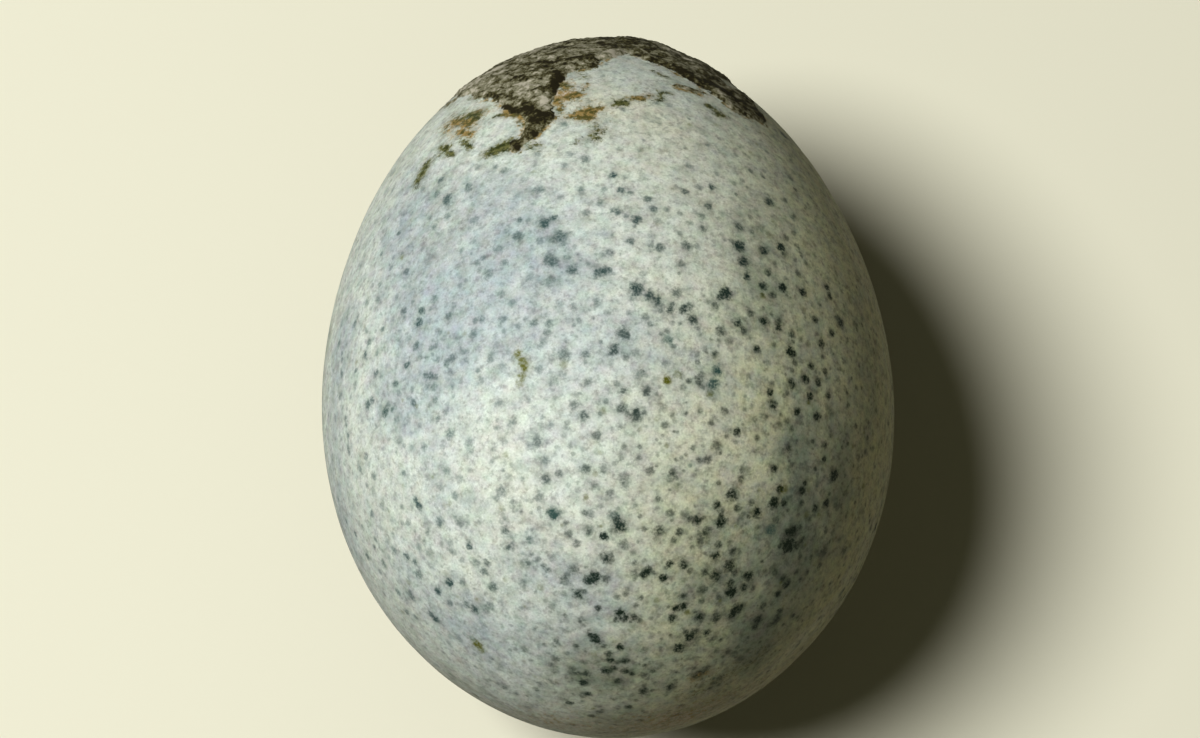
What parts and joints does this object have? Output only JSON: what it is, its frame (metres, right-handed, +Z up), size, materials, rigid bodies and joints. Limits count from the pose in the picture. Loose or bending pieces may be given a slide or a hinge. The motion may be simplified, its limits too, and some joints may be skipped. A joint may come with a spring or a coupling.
{
  "type": "chicken egg",
  "caption": "Whole speckled egg lying on its side, pale grey-green shell freckled with slate spots, thin crust of dried soil set on the pointed end, small flat to rest on",
  "frame": {"origin": "on the surface the egg rests on, under the middle of its bounding box", "axes": "+Z up, +Y along the egg towards its pointed end, which dips 6.5 degrees, +X to the right seen from the blunt end"},
  "size_m": [0.041, 0.052, 0.0409],
  "materials": {
    "shell": "matte"
  },
  "bodies": {
    "root": {"egg": "shell"}
  },
  "joints": []
}
